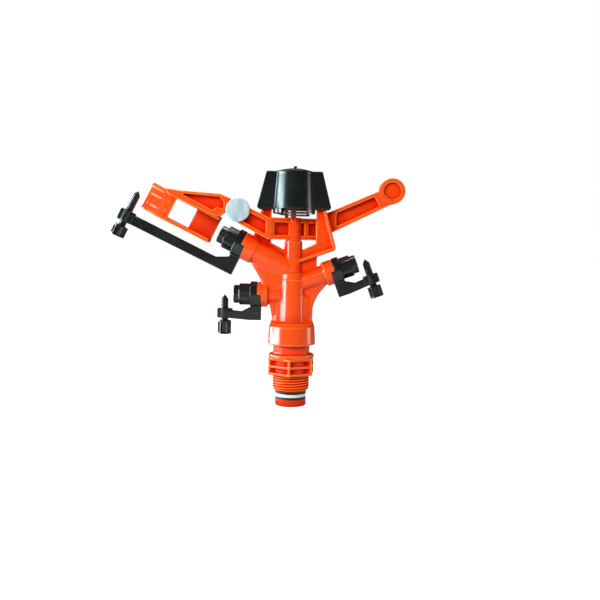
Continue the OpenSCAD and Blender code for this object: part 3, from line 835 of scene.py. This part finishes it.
def blend_colour(nodes, link, share, first, second):
    """A mix of two colours, each a triple or the output of another node."""
    mix = nodes.new("ShaderNodeMix")
    mix.data_type = "RGBA"
    link.new(share, mix.inputs["Factor"])
    for socket, colour in (("A", first), ("B", second)):
        entry = next(i for i in mix.inputs if i.name == socket and i.type == "RGBA")
        if isinstance(colour, tuple):
            entry.default_value = (*colour, 1)
        else:
            link.new(colour, entry)
    return next(o for o in mix.outputs if o.type == "RGBA")


# ------------------------------------------------------------------ materials

def plastic(name, colour, rough, gloss=0.5, hollow_shade=None, edge=None, grain=0.015, flow=0.08):
    """Glossy moulded plastic, with faint flow marks. Given a hollow colour, it paints shade into
    hollows, where the colour darkens and the gloss fades; given an edge colour, it paints a
    highlight along edges."""
    material, nodes, link, shader = fresh(name)
    marks = noise(nodes, link, 38, 3, 0.55)
    pale = [min(1, c * (1 + flow)) for c in colour]
    dark = [c * (1 - flow) for c in colour]
    shade = ramp(nodes, link, marks, [(0.3, dark), (0.7, pale)])
    shader.inputs["Specular IOR Level"].default_value = gloss
    # Painted shade: ambient occlusion darkens the colour and fades the gloss in hollows.
    if hollow_shade:
        open_part = openness(nodes, link)
        shade = blend_colour(nodes, link, open_part, hollow_shade, shade)
        fading = spread(nodes, link, open_part, 0, gloss, 0, 1)
        link.new(fading, shader.inputs["Specular IOR Level"])
    # Painted highlight: a paler colour along outward edges, where they would catch the light.
    if edge:
        shade = blend_colour(nodes, link, edges(nodes), shade, edge)
    link.new(shade, shader.inputs["Base Color"])
    sheen = spread(nodes, link, marks, rough * 0.85, rough * 1.2)
    link.new(sheen, shader.inputs["Roughness"])
    roughen(nodes, link, shader, noise(nodes, link, 700, 2, 0.5), grain, 0.1 * MM)
    shader.inputs["IOR"].default_value = 1.5
    return material


def metal(name, low, high, rough, bare, stretch):
    """Plated or drawn steel, with streaks along one way and a mottled tone."""
    material, nodes, link, shader = fresh(name)
    streaks = noise(nodes, link, 300, 4, 0.6, stretch)
    shade = ramp(nodes, link, streaks, [(0.35, low), (0.65, high)])
    link.new(shade, shader.inputs["Base Color"])
    sheen = spread(nodes, link, streaks, rough * 0.8, rough * 1.3)
    link.new(sheen, shader.inputs["Roughness"])
    shader.inputs["Metallic"].default_value = bare
    roughen(nodes, link, shader, streaks, 0.25, 0.2 * MM)
    return material


def orange_plastic():
    # The dark red is painted shade in hollows; the pale orange is a painted highlight along
    # edges.
    return plastic("orange_plastic", (0.93, 0.078, 0.003), rough=0.2, gloss=0.65,
                   hollow_shade=(0.7, 0.011, 0.001), edge=(1.0, 0.24, 0.03))


def black_plastic():
    return plastic("black_plastic", (0.0045, 0.0075, 0.008), rough=0.24, gloss=0.8, flow=0.15)


def black_rubber():
    return plastic("black_rubber", (0.012, 0.012, 0.013), rough=0.6, flow=0.3, grain=0.3)


def white_plastic():
    return plastic("white_plastic", (0.82, 0.82, 0.8), rough=0.4, flow=0.03)


def zinc_steel():
    return metal("zinc_steel", low=(0.42, 0.6, 0.64), high=(0.6, 0.78, 0.8), rough=0.42,
                 bare=0.3, stretch=(1, 1, 0.2))


def spring_steel():
    return metal("spring_steel", low=(0.1, 0.09, 0.085), high=(0.2, 0.18, 0.17), rough=0.3,
                 bare=0.9, stretch=(0.3, 0.3, 1))


# ------------------------------------------------------------------ the pieces

def mould_casting():
    mould(bush_field, "inlet_bush", 0.4)
    mould(body_field, "body", 0.55)
    mould(cap_field, "top_cap", 0.45)


def mould_main_jet():
    mould(nozzle_field(MAIN, nut_radius=10.9, nose_radius=7.9, nose_length=6, orifice=4,
                       screw=8.4), "main_nozzle", 0.4)
    mould(bracket_field(MAIN, ring_radius=12.3, screw=8.4, drop=28.6, thick=8.2,
                        boss_low=-28.7, boss_high=-18.5), "main_bracket", 0.45)
    mould(breaker_field(MAIN, tip=0.9, knob_low=-43.1, knob_high=-33.5, corner=6.9),
          "main_breaker_screw", 0.3)


def mould_lower_jet():
    mould(nozzle_field(LOWER, nut_radius=10, nose_radius=8.1, nose_length=5, orifice=1.9,
                       screw=7.2), "lower_nozzle", 0.4)
    mould(bracket_field(LOWER, ring_radius=11.5, screw=7.2, drop=23, thick=7.4,
                        boss_low=-21.2, boss_high=-13), "lower_bracket", 0.45)
    mould(breaker_field(LOWER, tip=-0.8, knob_low=-35.8, knob_high=-23.8, corner=6.3),
          "lower_breaker_screw", 0.3)


def mould_rear_jet():
    mould(nozzle_field(REAR, nut_radius=10, nose_radius=8.1, nose_length=5, orifice=2.3,
                       screw=7.2), "rear_nozzle", 0.4)
    mould(bracket_field(REAR, ring_radius=11.5, screw=7.2, drop=23.6, thick=7.6,
                        boss_low=-21.7, boss_high=-13.5), "rear_bracket", 0.45)
    mould(breaker_field(REAR, tip=1, knob_low=-34.4, knob_high=-24.4, corner=6.3),
          "rear_breaker_screw", 0.3)


def mould_arm():
    arm = mould(arm_field, "impact_arm", 0.5)
    mould(weight_field, "arm_weight", 0.3)
    return arm


def wind_arm_spring():
    """The torsion spring over the arm. Its tail ends between the arm's lugs, and it winds up
    between the cap, on the rotor, and the arm."""
    low, high = bottom("arm_spring"), top("arm_spring")
    tail = [(-3.9, -4.0, low + 1.4), (-3.9, -11.5, low + WIRE)]
    turns = coil(COIL, low + WIRE, high - WIRE, 10, math.radians(-105))
    spring = wire("arm_spring_wire", tail + list(turns), WIRE)
    stand_for(spring, "arm_spring")
    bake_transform(spring)


def wind_bearing_spring():
    low, high = span("bearing_spring", 2)
    spring = wire("bearing_spring_wire", list(coil(COIL, low + WIRE, high - WIRE, 4.5)), WIRE)
    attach(spring, frame["nodes"]["bearing_spring"]["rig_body"])
    stand_for(spring, "bearing_spring")


def dress_cad_pieces(bevel_width=0.25):
    """The pieces that stay as they are in the CAD get their material and a small bevel."""
    for node, cad in frame["nodes"].items():
        if not cad.hide_render:
            cad.data.materials.clear()
            cad.data.materials.append(MATERIALS[slot_of(node)])
            bevel = cad.modifiers.new("edges", "BEVEL")
            bevel.width = bevel_width * MM
            bevel.segments = 2


# ------------------------------------------------------------------ stage, light and camera

def floor_material():
    """White to the camera, grey to the lights, and clear from below, so that the floor doesn't
    hide the sprinkler in a view of its underside."""
    material, nodes, link, shader = fresh("floor")
    shader.inputs["Base Color"].default_value = (0.5, 0.5, 0.5, 1)
    shader.inputs["Roughness"].default_value = 0.9
    shader.inputs["Specular IOR Level"].default_value = 0.0
    shader.inputs["Emission Color"].default_value = (1, 1, 1, 1)
    seen = nodes.new("ShaderNodeLightPath")
    link.new(seen.outputs["Is Camera Ray"], shader.inputs["Emission Strength"])
    above = nodes.new("ShaderNodeMath")
    above.operation = "SUBTRACT"
    above.inputs[0].default_value = 1.0
    link.new(nodes.new("ShaderNodeNewGeometry").outputs["Backfacing"], above.inputs[1])
    link.new(above.outputs[0], shader.inputs["Alpha"])
    return material


def floor():
    bpy.ops.mesh.primitive_plane_add(size=6, location=(0, 0, CAD_BOX[0][2]))
    plane = bpy.context.object
    plane.name = "floor"
    plane.data.materials.append(floor_material())


def softbox(name, place, size, radiance, colour=(1, 1, 1), lights="all", spare=None):
    """A rectangular light that faces the sprinkler. It may be limited to highlights or to the
    soft light it gives, and it may spare one piece."""
    light = bpy.data.lights.new(name, "AREA")
    light.shape = "RECTANGLE"
    light.size, light.size_y = size
    light.energy = radiance * math.pi * size[0] * size[1]
    light.color = colour
    lamp = bpy.data.objects.new(name, light)
    lamp.location = place
    direction = Vector((0, 0, 0.09)) - lamp.location
    lamp.rotation_euler = direction.to_track_quat("-Z", "Y").to_euler()
    lamp.visible_glossy = lights in ("all", "highlights")
    lamp.visible_diffuse = lights in ("all", "soft")
    bpy.context.scene.collection.objects.link(lamp)
    if spare:
        spared = bpy.data.collections.new(name + "_spared")
        spared.objects.link(spare)
        spared.collection_objects[0].light_linking.link_state = "EXCLUDE"
        lamp.light_linking.receiver_collection = spared


def softboxes(arm):
    """The left light's highlights are dimmer on the arm, whose curled vane faces the light."""
    left, left_size = (-0.65, 0.057, 0.1), (0.9, 0.4)
    softbox("left", left, left_size, 19, (0.75, 0.94, 1.0), "highlights", arm)
    softbox("left_arm", left, left_size, 5, lights="highlights")
    softbox("left_soft", (-0.65, 0.08, 0.1), (0.55, 0.36), 8, lights="soft")
    softbox("right", (0.7, 0.06, 0.1), (0.26, 0.36), 4.5)
    softbox("overhead", (0, 0.18, 0.9), (0.6, 0.25), 12)
    softbox("front", (-0.45, -1.0, 0.65), (0.9, 0.6), 9.4, lights="soft")


def sky():
    """White to the camera, dimmer as a source of light, so that black pieces stay black."""
    world = bpy.data.worlds.new("studio")
    world.use_nodes = True
    bpy.context.scene.world = world
    nodes, link = world.node_tree.nodes, world.node_tree.links
    seen = nodes.new("ShaderNodeLightPath")
    strength = nodes.new("ShaderNodeMapRange")
    strength.inputs["To Min"].default_value = 0.07
    strength.inputs["To Max"].default_value = 1.0
    link.new(seen.outputs["Is Camera Ray"], strength.inputs["Value"])
    background = nodes["Background"]
    background.inputs["Color"].default_value = (1, 1, 1, 1)
    link.new(strength.outputs[0], background.inputs["Strength"])


def camera():
    """Level, square to the plane of the jets, and rolled a little."""
    distance, roll = 0.644, math.radians(-1.15)
    aim_x, aim_z = 0.0078, 0.1109
    data = bpy.data.cameras.new("camera")
    data.sensor_width = 36
    data.lens = 42.96
    data.shift_x, data.shift_y = -0.0033, -0.0833
    view = bpy.data.objects.new("camera", data)
    view.location = (aim_x, -distance, aim_z)
    view.rotation_euler = (math.pi / 2, roll, 0)
    bpy.context.scene.collection.objects.link(view)
    bpy.context.scene.camera = view


# ------------------------------------------------------------------ build it

MATERIALS = {make.__name__: make() for make in (orange_plastic, black_plastic, black_rubber,
                                                white_plastic, zinc_steel, spring_steel)}
mould_casting()
mould_main_jet()
mould_lower_jet()
mould_rear_jet()
impact_arm = mould_arm()
wind_arm_spring()
wind_bearing_spring()
dress_cad_pieces()

floor()
sky()
softboxes(impact_arm)
camera()
bpy.context.scene.view_settings.view_transform = "Standard"
